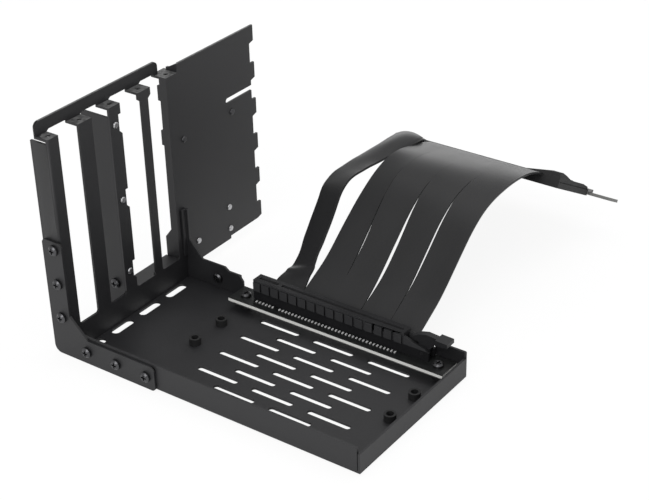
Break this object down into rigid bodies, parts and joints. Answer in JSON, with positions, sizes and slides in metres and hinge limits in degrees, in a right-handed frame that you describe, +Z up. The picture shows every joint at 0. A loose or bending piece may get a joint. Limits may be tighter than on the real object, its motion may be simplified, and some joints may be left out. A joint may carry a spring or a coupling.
{
  "type": "vertical graphics card mount",
  "caption": "Folded black steel tray and punched rear frame that hold a graphics card upright, with a riser slot on the tray and a flat ribbon to a card-edge plug",
  "frame": {"origin": "middle of the tray's underside", "axes": "+X from the rear frame to the tray's front wall, +Y from the near wall towards the ribbon, +Z up"},
  "size_m": [0.1857, 0.2574, 0.1218],
  "materials": {
    "black_steel": "fine matt black powder coat",
    "black_screw": "black oxide",
    "rivet": "dark zinc",
    "black_plastic": "moulded black",
    "board": "black solder resist",
    "contact": "gold plated",
    "tail": "tinned",
    "ribbon": "satin black sheath"
  },
  "bodies": {
    "mount": {"tray": "black_steel", "rear_frame": "black_steel", "divider": "black_steel", "corner_gusset": "black_steel", "side_bracket": "black_steel", "divider_rivets": "rivet", "gusset_screws": "black_screw", "side_screws": "black_screw", "riser_screws": "black_screw", "plate_rivets": "rivet", "standoffs": "black_screw", "riser_base": "black_plastic", "riser_board": "board", "slot_housing": "black_plastic", "slot_contacts": "contact", "slot_tails": "tail", "ribbon_clamp": "black_plastic", "plug_hood": "black_plastic", "plug_board": "board", "plug_contacts": "contact", "ribbon_strip_1": "ribbon", "ribbon_strip_2": "ribbon", "ribbon_strip_3": "ribbon", "ribbon_strip_4": "ribbon", "ribbon_strip_5": "ribbon"},
    "latch": {"slot_latch": "black_plastic"}
  },
  "joints": [
    {"name": "latch_pivot", "type": "hinge", "parent": "mount", "child": "latch", "pos_m": [0.0635, 0.0387, 0.0108], "axis": [0, 1, 0], "range_deg": [0, 28]}
  ]
}
